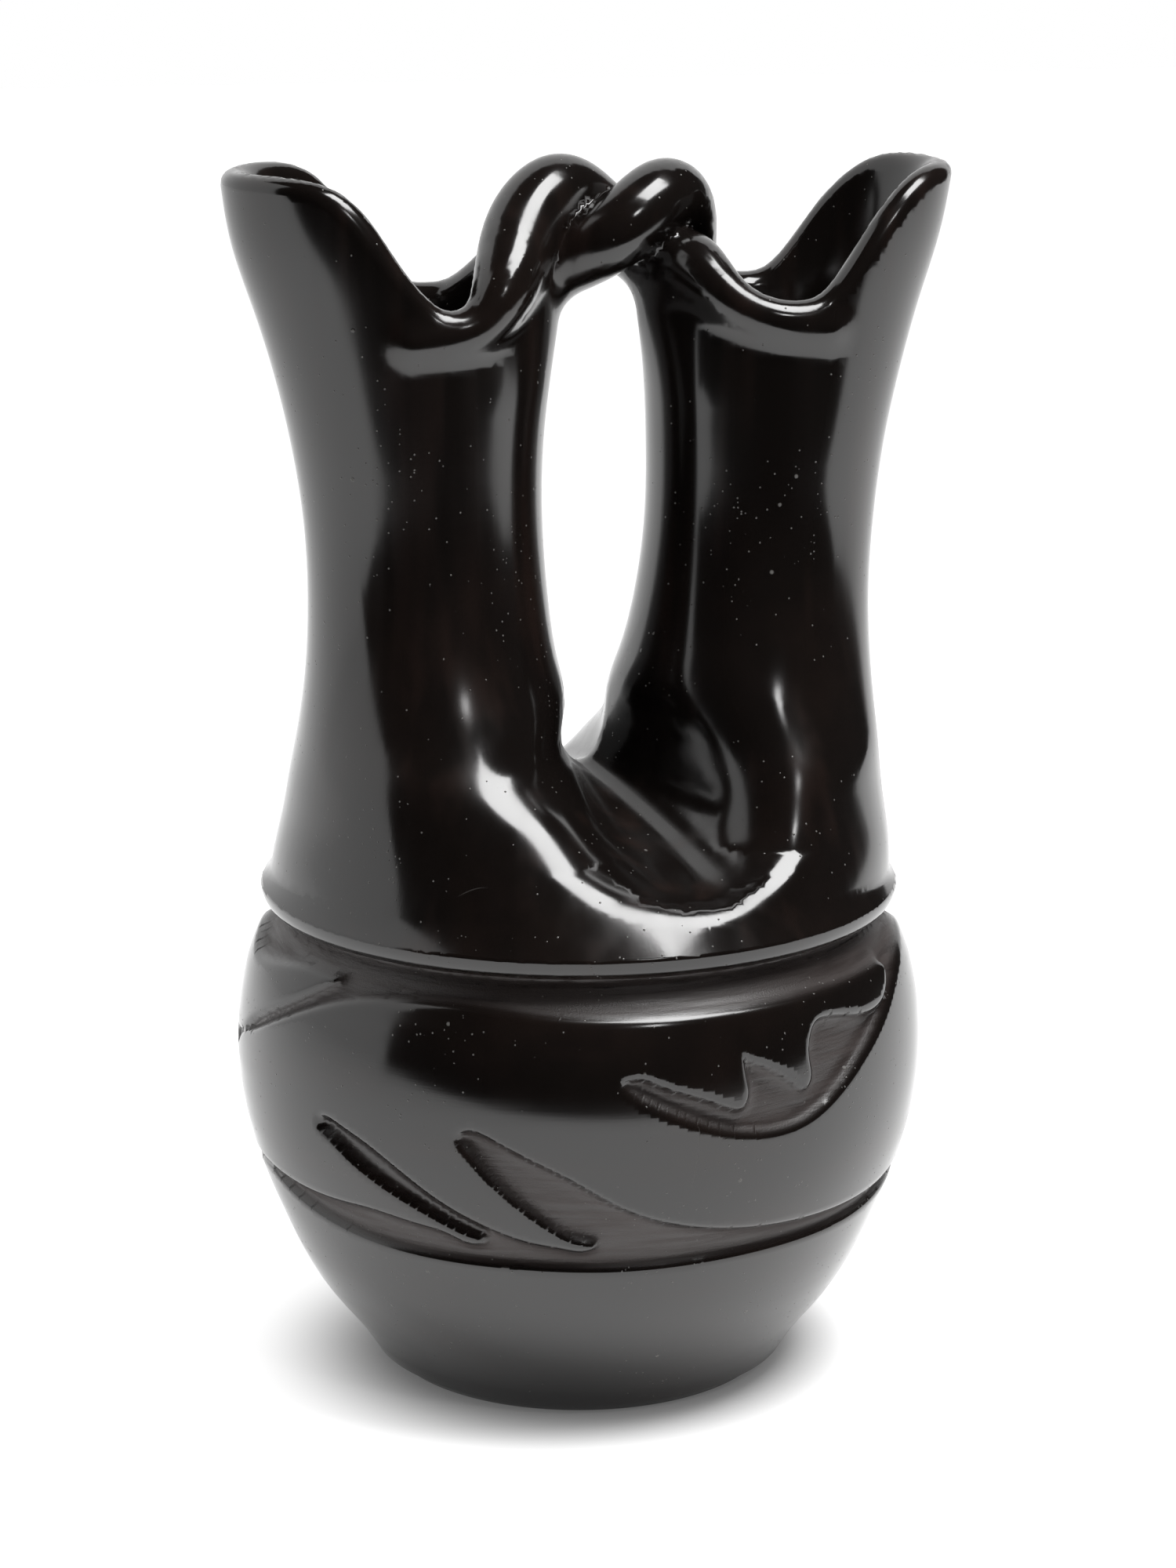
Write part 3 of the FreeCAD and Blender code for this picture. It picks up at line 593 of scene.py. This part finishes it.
def belly_rings():
    """Rings of the outside from the foot up to the crown, and of the inside from there down.

    Each ring is its points, its matte mask and its normals, which are zero where unknown."""
    rings = []

    def plain(radius, z, count):
        turn = 2.0 * math.pi * np.arange(count) / count
        ring = np.stack([radius * np.cos(turn), radius * np.sin(turn), np.full(count, z)], axis=1)
        slope = float(belly_line(z + 0.2) - belly_line(z - 0.2)) / 0.4
        normals = np.stack([np.cos(turn), np.sin(turn), np.full(count, -slope)], axis=1)
        normals = normals / np.linalg.norm(normals, axis=1)[:, None]
        if z < 3.0:
            normals[:] = 0.0
        rings.append((ring, np.zeros(count), normals))

    foot = belly_profile[0][1]
    for share in (0.35, 0.7, 0.92):
        plain(foot * share, 0.0, 96)
    for turn in (0.0, 0.35, 0.7, 1.05):
        radius = foot - foot_round + foot_round * math.sin(turn)
        plain(radius, foot_round * (1.0 - math.cos(turn)), 240)
    low = 3.0
    for i in range(12):
        z = low + (band_foot - low) * i / 12.0
        plain(float(belly_line(z)), z, 240 if i < 11 else band_columns)
    # the carved band
    arc = [band_foot]
    while arc[-1] < join_height:
        slope = float(belly_line(arc[-1] + 0.1) - belly_line(arc[-1])) / 0.1
        arc.append(arc[-1] + band_step / math.hypot(1.0, slope))
    stretch = (join_height - band_foot) / (arc[-1] - band_foot)
    heights = band_foot + (np.array(arc) - band_foot) * stretch
    angle = -180.0 + 360.0 * np.arange(band_columns) / band_columns
    grid_angle, grid_z = np.meshgrid(angle, heights)
    shape = grid_angle.shape
    a = grid_angle.reshape(-1)
    z = grid_z.reshape(-1)
    inner_row = np.ones(shape, bool)
    inner_row[0] = False
    inner_row[-1] = False
    inner_row = inner_row.reshape(-1)
    for _ in range(2):
        s, place = ground_distance(a, z)
        away = np.stack([(a - place[:, 0]) * degree, z - place[:, 1]], axis=1)
        length = np.maximum(np.hypot(away[:, 0], away[:, 1]), 1e-6)
        lines = np.array(cut_lines)
        gap = lines[None, :] - s[:, None]
        pick = np.abs(gap).argmin(axis=1)
        want = gap[np.arange(len(s)), pick]
        snap = (np.abs(want) < 0.4) & inner_row & (np.abs(s) > 0.02)
        factor = np.where(snap, np.sign(s) * want / length, 0.0)
        a = a + factor * away[:, 0] / degree
        z = z + factor * away[:, 1]
    s, _ = ground_distance(a, z)
    s = np.where(z > band_plain_over + 0.4, np.maximum(s, 4.0), s)
    depth = cut_depth(s)
    radius = belly_line(z) - depth
    turn = np.radians(a)
    band = np.stack([radius * np.cos(turn), radius * np.sin(turn), z], axis=1)
    band_normals = cut_normals(a, z)
    (a0, z0), (a1, z1) = slit_line
    folded = np.mod(a + 170.0, 180.0) - 170.0
    span = np.array([(a1 - a0) * degree, z1 - z0])
    px = (folded - a0) * degree
    pz = z - z0
    t = np.clip((px * span[0] + pz * span[1]) / span.dot(span), 0.0, 1.0)
    off = np.hypot(px - t * span[0], pz - t * span[1])
    matte = ease(s, -0.4, 1.2) * (0.5 + 0.5 * ease(off, slit_half_width - 0.6,
                                                   slit_half_width + 0.8))
    band = band.reshape(shape + (3,))
    matte = matte.reshape(shape)
    band_normals = band_normals.reshape(shape + (3,))
    # the band's columns start at minus 180 degrees, the plain rings at 0
    half = band_columns // 2
    for row in range(shape[0]):
        rings.append((np.roll(band[row], -half, axis=0), np.roll(matte[row], -half),
                      np.roll(band_normals[row], -half, axis=0)))
    inside = []

    def inner(radius, z, count):
        turn = 2.0 * math.pi * np.arange(count) / count
        ring = np.stack([radius * np.cos(turn), radius * np.sin(turn), np.full(count, z)], axis=1)
        inside.append((ring, np.zeros(count), np.zeros((count, 3))))

    collar = yoke_radius - yoke_wall
    inner(collar, join_height, 180)
    for i in range(20):
        z = 88.0 + (22.0 - 88.0) * i / 19.0
        inner(float(belly_line(z)) - belly_wall, z, 180)
    inner(41.5, 15.5, 180)
    inner(37.5, 11.5, 96)
    inner(31.0, 9.0, 96)
    inner(20.0, floor_thickness, 96)
    inner(9.0, floor_thickness, 48)
    return rings, inside


def strip(first, second, points):
    """Faces between two closed loops of point numbers that both turn with the angle."""
    if len(first) == len(second):
        count = len(first)
        return [(first[i], first[(i + 1) % count], second[(i + 1) % count], second[i])
                for i in range(count)]

    def from_lowest_angle(loop):
        """The loop started at its lowest angle, and its angles with one more full turn."""
        start = int(np.argmin(np.arctan2(points[loop, 1], points[loop, 0])))
        loop = loop[start:] + loop[:start]
        turn = np.unwrap(np.arctan2(points[loop, 1], points[loop, 0]))
        return loop, np.append(turn, turn[0] + 2.0 * math.pi)

    first, ta = from_lowest_angle(first)
    second, tb = from_lowest_angle(second)
    faces = []
    i = j = 0
    na, nb = len(first), len(second)
    while i < na or j < nb:
        if j >= nb or (i < na and ta[i + 1] <= tb[j + 1]):
            faces.append((first[i % na], first[(i + 1) % na], second[j % nb]))
            i += 1
        else:
            faces.append((first[i % na], second[(j + 1) % nb], second[j % nb]))
            j += 1
    return faces


def border_loops(quads):
    """Closed loops of the open edges of a quad mesh, in the order of the faces' edges."""
    edges = np.concatenate([quads[:, [0, 1]], quads[:, [1, 2]], quads[:, [2, 3]], quads[:, [3, 0]]])
    keys = set(map(tuple, edges.tolist()))
    after = {a: b for a, b in keys if (b, a) not in keys}
    loops = []
    while after:
        start = next(iter(after))
        loop = [start]
        at = after.pop(start)
        while at != start:
            loop.append(at)
            at = after.pop(at)
        loops.append(loop)
    return loops


def vase_mesh():
    """Points, faces, known normals (the rest zero) and the matte mask of the whole vase."""
    points, normals, quads = crown_mesh()
    faces = quads.tolist()
    matte = ease(shoulder_height + 0.9 - points[:, 2], 0.0, 0.9)
    matte = matte * (np.hypot(points[:, 0], points[:, 1]) > 55.6)
    loops = border_loops(quads)
    reach = [float(np.hypot(points[loop, 0], points[loop, 1]).mean()) for loop in loops]
    rings, inside = belly_rings()
    all_points = [points]
    all_matte = [matte]
    all_normals = [normals]
    count = len(points)
    numbers = []
    for ring, mask, ring_normals in rings + inside:
        numbers.append(list(range(count, count + len(ring))))
        all_points.append(ring)
        all_matte.append(mask)
        all_normals.append(ring_normals)
        count += len(ring)
    foot_middle, floor_middle = count, count + 1
    all_points.append(np.array([[0.0, 0.0, 0.0], [0.0, 0.0, floor_thickness]]))
    all_matte.append(np.zeros(2))
    all_normals.append(np.zeros((2, 3)))
    points = np.concatenate(all_points)
    matte = np.concatenate(all_matte)
    normals = np.concatenate(all_normals)
    outer = numbers[:len(rings)]
    inner = numbers[len(rings):]
    for low, high in zip(outer, outer[1:]):
        faces += strip(low, high, points)
    for high, low in zip(inner, inner[1:]):
        faces += [f[::-1] for f in strip(low, high, points)]
    size = len(outer[0])
    faces += [(outer[0][(i + 1) % size], outer[0][i], foot_middle) for i in range(size)]
    size = len(inner[-1])
    faces += [(inner[-1][i], inner[-1][(i + 1) % size], floor_middle) for i in range(size)]

    def turning(loop):
        p = points[loop]
        area = (p[:, 0] * np.roll(p[:, 1], -1) - p[:, 1] * np.roll(p[:, 0], -1)).sum()
        return loop if area > 0 else loop[::-1]

    order = np.argsort(reach)
    hollow = turning(loops[order[0]])
    skin = turning(loops[order[-1]])
    faces += strip(outer[-1], skin, points)
    faces += [f[::-1] for f in strip(inner[0], hollow, points)]
    return points, faces, normals, matte


def build_vase():
    points, faces, normals, matte = vase_mesh()
    mesh = bpy.data.meshes.new("vase_clay")
    points = np.clip(points * unit, solid_box.min(axis=0), solid_box.max(axis=0))
    mesh.from_pydata(points.tolist(), [], [tuple(f) for f in faces])
    mesh.update()
    mask = mesh.attributes.new("carved_ground", "FLOAT", "POINT")
    mask.data.foreach_set("value", matte.astype(np.float32))
    mesh.polygons.foreach_set("use_smooth", np.ones(len(mesh.polygons), bool))
    vase = bpy.data.objects.new("vase_clay", mesh)
    bpy.context.scene.collection.objects.link(vase)
    own = np.empty(len(mesh.vertices) * 3, np.float32)
    mesh.vertex_normals.foreach_get("vector", own)
    own = own.reshape(-1, 3)
    known = (normals * normals).sum(axis=1) > 0.5
    own[known] = normals[known]
    mesh.normals_split_custom_set_from_vertices(own.tolist())
    return vase


def new_material(name):
    material = bpy.data.materials.new(name)
    material.use_nodes = True
    nodes = material.node_tree.nodes
    links = material.node_tree.links
    shader = nodes["Principled BSDF"]
    return material, nodes, links, shader


def new_group(name, inputs, outputs):
    """Empty node group with named number or colour sockets."""
    group = bpy.data.node_groups.new(name, "ShaderNodeTree")
    kinds = {"number": "NodeSocketFloat", "colour": "NodeSocketColor", "place": "NodeSocketVector"}
    for label, kind, value in inputs:
        socket = group.interface.new_socket(label, in_out="INPUT", socket_type=kinds[kind])
        if value is not None:
            socket.default_value = value
    for label, kind in outputs:
        group.interface.new_socket(label, in_out="OUTPUT", socket_type=kinds[kind])
    start = group.nodes.new("NodeGroupInput")
    end = group.nodes.new("NodeGroupOutput")
    return group, start, end


class Wiring:
    """Short ways to add nodes to one tree."""

    def __init__(self, tree):
        self.nodes = tree.nodes
        self.links = tree.links

    def feed(self, value, socket):
        if isinstance(value, bpy.types.NodeSocket):
            self.links.new(value, socket)
        else:
            socket.default_value = value

    def math(self, operation, a, b=0.0, clamp=False):
        node = self.nodes.new("ShaderNodeMath")
        node.operation = operation
        node.use_clamp = clamp
        self.feed(a, node.inputs[0])
        self.feed(b, node.inputs[1])
        return node.outputs[0]

    def between(self, value, low, high, to_low=0.0, to_high=1.0):
        node = self.nodes.new("ShaderNodeMapRange")
        node.interpolation_type = "SMOOTHSTEP"
        self.feed(value, node.inputs["Value"])
        self.feed(low, node.inputs["From Min"])
        self.feed(high, node.inputs["From Max"])
        self.feed(to_low, node.inputs["To Min"])
        self.feed(to_high, node.inputs["To Max"])
        return node.outputs["Result"]

    def mix(self, share, a, b):
        node = self.nodes.new("ShaderNodeMix")
        node.data_type = "FLOAT"
        self.feed(share, node.inputs[0])
        self.feed(a, node.inputs[2])
        self.feed(b, node.inputs[3])
        return node.outputs[0]

    def mix_colour(self, share, a, b):
        node = self.nodes.new("ShaderNodeMix")
        node.data_type = "RGBA"
        self.feed(share, node.inputs[0])
        self.feed(a, node.inputs[6])
        self.feed(b, node.inputs[7])
        return node.outputs[2]

    def stretched(self, place, scale):
        node = self.nodes.new("ShaderNodeVectorMath")
        node.operation = "MULTIPLY"
        self.feed(place, node.inputs[0])
        node.inputs[1].default_value = scale
        return node.outputs[0]

    def noise(self, place, scale, detail=2.0, roughness=0.5):
        node = self.nodes.new("ShaderNodeTexNoise")
        self.feed(place, node.inputs["Vector"])
        self.feed(scale, node.inputs["Scale"])
        node.inputs["Detail"].default_value = detail
        node.inputs["Roughness"].default_value = roughness
        return node.outputs["Fac"]


def burnish_marks_group():
    """Rubbing marks of the polishing stone: upright on the crown, level on the belly."""
    group, start, end = new_group(
        "burnish_marks", [("Place", "place", None), ("Turn Level", "number", 0.09)],
        [("Height", "number"), ("Shade", "number")])
    w = Wiring(group)
    place = start.outputs["Place"]
    split = w.nodes.new("ShaderNodeSeparateXYZ")
    w.links.new(place, split.inputs[0])
    upright = w.noise(w.stretched(place, (620.0, 620.0, 14.0)), 1.0, 3.0, 0.6)
    level = w.noise(w.stretched(place, (26.0, 26.0, 720.0)), 1.0, 3.0, 0.6)
    over = w.between(split.outputs["Z"], w.math("SUBTRACT", start.outputs["Turn Level"], 0.004),
                     w.math("ADD", start.outputs["Turn Level"], 0.004))
    marks = w.mix(over, level, upright)
    broad_upright = w.noise(w.stretched(place, (120.0, 120.0, 9.0)), 1.0, 2.0, 0.5)
    broad_level = w.noise(w.stretched(place, (14.0, 14.0, 110.0)), 1.0, 2.0, 0.5)
    w.links.new(marks, end.inputs["Height"])
    w.links.new(w.mix(over, broad_level, broad_upright), end.inputs["Shade"])
    return group


def dust_group():
    """Sparse pale specks, thicker where the cloudy noise is high."""
    group, start, end = new_group(
        "dust_specks", [("Place", "place", None), ("Scale", "number", 900.0),
                        ("Amount", "number", 0.1)], [("Mask", "number")])
    w = Wiring(group)
    specks = w.nodes.new("ShaderNodeTexVoronoi")
    w.links.new(start.outputs["Place"], specks.inputs["Vector"])
    w.links.new(start.outputs["Scale"], specks.inputs["Scale"])
    dot = w.between(specks.outputs["Distance"], 0.34, 0.12)
    chance = w.nodes.new("ShaderNodeSeparateColor")
    w.links.new(specks.outputs["Color"], chance.inputs[0])
    cloud = w.noise(start.outputs["Place"], 34.0, 3.0, 0.6)
    limit = w.math("MULTIPLY", start.outputs["Amount"], w.between(cloud, 0.42, 0.72, 0.15, 1.6))
    chosen = w.math("LESS_THAN", chance.outputs[0], limit)
    w.links.new(w.math("MULTIPLY", dot, chosen), end.inputs["Mask"])
    return group


def scratches_group():
    """Short hair lines where a warped noise crosses its middle, kept in a few patches."""
    group, start, end = new_group(
        "hair_scratches", [("Place", "place", None), ("Scale", "number", 30.0)],
        [("Mask", "number")])
    w = Wiring(group)
    line = w.noise(w.stretched(start.outputs["Place"], (1.0, 0.8, 0.35)), start.outputs["Scale"],
                   0.0)
    thin = w.between(w.math("ABSOLUTE", w.math("SUBTRACT", line, 0.5)), 0.0020, 0.0004)
    patch = w.between(w.noise(start.outputs["Place"], 47.0, 1.0), 0.66, 0.72)
    w.links.new(w.math("MULTIPLY", thin, patch), end.inputs["Mask"])
    return group


def place_group(material_wiring, group, values):
    node = material_wiring.nodes.new("ShaderNodeGroup")
    node.node_tree = group
    for label, value in values.items():
        material_wiring.feed(value, node.inputs[label])
    return node.outputs


def clay_material(effects):
    """Burnished black clay with a matte slip on the carved ground."""
    material, nodes, _, shader = new_material("burnished_black_clay")
    w = Wiring(material.node_tree)
    place = nodes.new("ShaderNodeTexCoord").outputs["Object"]
    ground = nodes.new("ShaderNodeAttribute")
    ground.attribute_name = "carved_ground"
    matte = ground.outputs["Fac"]
    marks = place_group(w, effects["marks"], {"Place": place, "Turn Level": 0.0935})
    dust = place_group(w, effects["dust"], {"Place": place, "Scale": 1500.0, "Amount": 0.05})
    lint = place_group(w, effects["dust"], {"Place": place, "Scale": 640.0, "Amount": 0.005})
    hair = place_group(w, effects["scratches"], {"Place": place, "Scale": 30.0})
    cloud = w.noise(place, 22.0, 4.0, 0.6)
    grain = w.noise(place, 2600.0, 3.0, 0.65)
    brush = w.noise(w.stretched(place, (60.0, 60.0, 900.0)), 1.0, 3.0, 0.6)
    swell = w.noise(place, 34.0, 1.0, 0.4)

    # colour
    black = w.mix_colour(w.between(cloud, 0.45, 0.75), (0.0100, 0.0078, 0.0070, 1.0),
                         (0.0180, 0.0122, 0.0102, 1.0))
    streak = w.between(marks["Shade"], 0.52, 0.75, 0.0, 0.8)
    black = w.mix_colour(streak, black, (0.0240, 0.0148, 0.0122, 1.0))
    brown = w.mix_colour(w.between(brush, 0.35, 0.7), (0.034, 0.0245, 0.0225, 1.0),
                         (0.058, 0.044, 0.041, 1.0))
    brown = w.mix_colour(w.between(cloud, 0.35, 0.7), brown, (0.045, 0.033, 0.030, 1.0))
    colour = w.mix_colour(matte, black, brown)
    specks = w.math("MAXIMUM", dust["Mask"], lint["Mask"])
    colour = w.mix_colour(w.math("MULTIPLY", specks, 0.55), colour, (0.34, 0.33, 0.31, 1.0))
    colour = w.mix_colour(w.math("MULTIPLY", hair["Mask"], 0.15), colour, (0.20, 0.19, 0.18, 1.0))
    w.feed(colour, shader.inputs["Base Color"])

    # roughness
    polish = w.between(marks["Shade"], 0.3, 0.75, 0.10, 0.19)
    polish = w.math("ADD", polish, w.between(cloud, 0.4, 0.8, 0.0, 0.05))
    slip = w.between(brush, 0.3, 0.75, 0.42, 0.60)
    rough = w.mix(matte, polish, slip)
    rough = w.math("MAXIMUM", rough, w.math("MULTIPLY", specks, 0.6))
    rough = w.math("MAXIMUM", rough, w.math("MULTIPLY", hair["Mask"], 0.42))
    w.feed(rough, shader.inputs["Roughness"])
    shader.inputs["IOR"].default_value = 1.65

    # relief in metres: slow hand-made swell, rubbing marks, brushed slip, specks and scratches
    smooth_height = w.math("MULTIPLY", swell, 0.00007)
    smooth_height = w.math("ADD", smooth_height, w.math("MULTIPLY", marks["Height"], 0.000006))
    slip_height = w.math("MULTIPLY", brush, 0.00012)
    slip_height = w.math("ADD", slip_height, w.math("MULTIPLY", grain, 0.00006))
    height = w.mix(matte, smooth_height, w.math("ADD", smooth_height, slip_height))
    height = w.math("ADD", height, w.math("MULTIPLY", specks, 0.00004))
    height = w.math("SUBTRACT", height, w.math("MULTIPLY", hair["Mask"], 0.00002))
    bump = nodes.new("ShaderNodeBump")
    bump.inputs["Strength"].default_value = 1.0
    bump.inputs["Distance"].default_value = 1.0
    w.feed(height, bump.inputs["Height"])
    w.feed(bump.outputs["Normal"], shader.inputs["Normal"])
    return material


def seen_by_camera_or_gloss(w):
    """One for camera, glossy and transmission rays, zero for the rest."""
    path = w.nodes.new("ShaderNodeLightPath")
    seen = w.math("MAXIMUM", path.outputs["Is Camera Ray"], path.outputs["Is Glossy Ray"])
    return w.math("MAXIMUM", seen, path.outputs["Is Transmission Ray"])


def flat_sheet(name, corners):
    mesh = bpy.data.meshes.new(name)
    mesh.from_pydata(corners, [], [tuple(range(len(corners)))])
    sheet = bpy.data.objects.new(name, mesh)
    bpy.context.scene.collection.objects.link(sheet)
    return sheet


paper_front = -0.41           # metres; the polished belly shows where the paper ends


def build_floor():
    """White paper, glowing white round the vase and plain under it, where the lamp's real shadow
    falls; the glow fading out towards the foot is a painted shadow.
    """
    back, side = 3.0, 3.0
    front = paper_front
    floor = flat_sheet("floor", [(-side, front, 0.0), (side, front, 0.0), (side, back, 0.0),
                                 (-side, back, 0.0)])
    material, nodes, links, shader = new_material("white_paper")
    w = Wiring(material.node_tree)
    place = nodes.new("ShaderNodeTexCoord").outputs["Object"]
    fibre = w.noise(place, 900.0, 3.0, 0.6)
    w.feed(w.mix_colour(fibre, (0.84, 0.84, 0.84, 1.0), (0.90, 0.90, 0.90, 1.0)),
           shader.inputs["Base Color"])
    w.feed(w.between(fibre, 0.3, 0.7, 0.85, 0.95), shader.inputs["Roughness"])
    shader.inputs["Specular IOR Level"].default_value = 0.1
    length = nodes.new("ShaderNodeVectorMath")
    length.operation = "LENGTH"
    links.new(place, length.inputs[0])
    # painted contact shadow: the glow is a tenth within 36 mm of the middle and reaches full white
    # at 70 mm, darkening the paper round the foot on top of the lamp's real shadow
    floor_glow_painted_shadow = w.between(length.outputs["Value"], 0.036, 0.070, 0.10, 1.0)
    w.feed(w.math("MULTIPLY", floor_glow_painted_shadow, seen_by_camera_or_gloss(w)),
           shader.inputs["Emission Strength"])
    shader.inputs["Emission Color"].default_value = (1.0, 1.0, 1.0, 1.0)
    bump = nodes.new("ShaderNodeBump")
    bump.inputs["Distance"].default_value = 0.00002
    w.feed(fibre, bump.inputs["Height"])
    w.feed(bump.outputs["Normal"], shader.inputs["Normal"])
    floor.data.materials.append(material)
    return floor


def build_room():
    """Dark cloths round the front half, as in a studio; the camera never sees them."""
    material, nodes, _, shader = new_material("dark_cloth")
    w = Wiring(material.node_tree)
    place = nodes.new("ShaderNodeTexCoord").outputs["Object"]
    folds = w.noise(w.stretched(place, (3.0, 3.0, 0.5)), 1.0, 2.0, 0.5)
    w.feed(w.mix_colour(folds, (0.010, 0.010, 0.010, 1.0), (0.030, 0.029, 0.028, 1.0)),
           shader.inputs["Base Color"])
    w.feed(w.between(folds, 0.3, 0.7, 0.85, 1.0), shader.inputs["Roughness"])
    front, left_wall, right_wall, top = -1.35, -1.25, 1.25, 1.9
    left_end, right_end, top_end = -0.30, 1.1, 0.8
    sheets = {
        "front_cloth": [(left_wall, front, -0.4), (right_wall, front, -0.4),
                        (right_wall, front, top), (left_wall, front, top)],
        "left_cloth": [(left_wall, left_end, -0.4), (left_wall, front, -0.4),
                       (left_wall, front, top), (left_wall, left_end, top)],
        "right_cloth": [(right_wall, front, -0.4), (right_wall, right_end, -0.4),
                        (right_wall, right_end, top), (right_wall, front, top)],
        "ceiling_cloth": [(left_wall, front, top), (right_wall, front, top),
                          (right_wall, top_end, top), (left_wall, top_end, top)],
        "low_cloth": [(left_wall, front, -0.4), (right_wall, front, -0.4),
                      (right_wall, paper_front - 0.01, -0.01),
                      (left_wall, paper_front - 0.01, -0.01)],
    }
    for name, corners in sheets.items():
        sheet = flat_sheet(name, corners)
        sheet.data.materials.append(material)
        sheet.visible_camera = False


def build_world():
    world = bpy.data.worlds.new("studio")
    world.use_nodes = True
    bpy.context.scene.world = world
    w = Wiring(world.node_tree)
    background = w.nodes["Background"]
    background.inputs["Color"].default_value = (1.0, 1.0, 1.0, 1.0)
    w.feed(w.between(seen_by_camera_or_gloss(w), 0.0, 1.0, 0.08, 1.0),
           background.inputs["Strength"])


def softbox(name, place, target, width, height, radiance):
    """Rectangular lamp that faces a point, by the brightness of its face."""
    lamp = bpy.data.lights.new(name, "AREA")
    lamp.shape = "RECTANGLE"
    lamp.size = width
    lamp.size_y = height
    lamp.energy = radiance * math.pi * width * height
    box = bpy.data.objects.new(name, lamp)
    box.location = place
    aim = np.array(target) - np.array(place)
    box.rotation_euler = Vector(aim.tolist()).to_track_quat("-Z", "Y").to_euler()
    bpy.context.scene.collection.objects.link(box)
    box.visible_camera = False
    return box


def build_lights():
    middle = (0.0, 0.0, 0.12)
    softbox("overhead_softbox", (0.34, -0.28, 1.05), middle, 0.50, 0.48, 12.5)
    softbox("front_softbox", (0.30, -0.98, 0.90), middle, 0.12, 0.12, 14.0)


def build_camera():
    data = bpy.data.cameras.new("camera")
    data.lens = 97.7
    data.sensor_width = 36.0
    camera = bpy.data.objects.new("camera", data)
    camera.location = (-0.1670, -0.7946, 0.3212)
    camera.rotation_euler = (math.radians(75.86), 0.0, math.radians(-12.0))
    bpy.context.scene.collection.objects.link(camera)
    bpy.context.scene.camera = camera


effects = {
    "marks": burnish_marks_group(),
    "dust": dust_group(),
    "scratches": scratches_group(),
}
vase = build_vase()
vase.data.materials.append(clay_material(effects))
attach(vase, "root")
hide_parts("vase")
build_floor()
build_room()
build_world()
build_lights()
build_camera()
bpy.context.scene.view_settings.view_transform = "Standard"
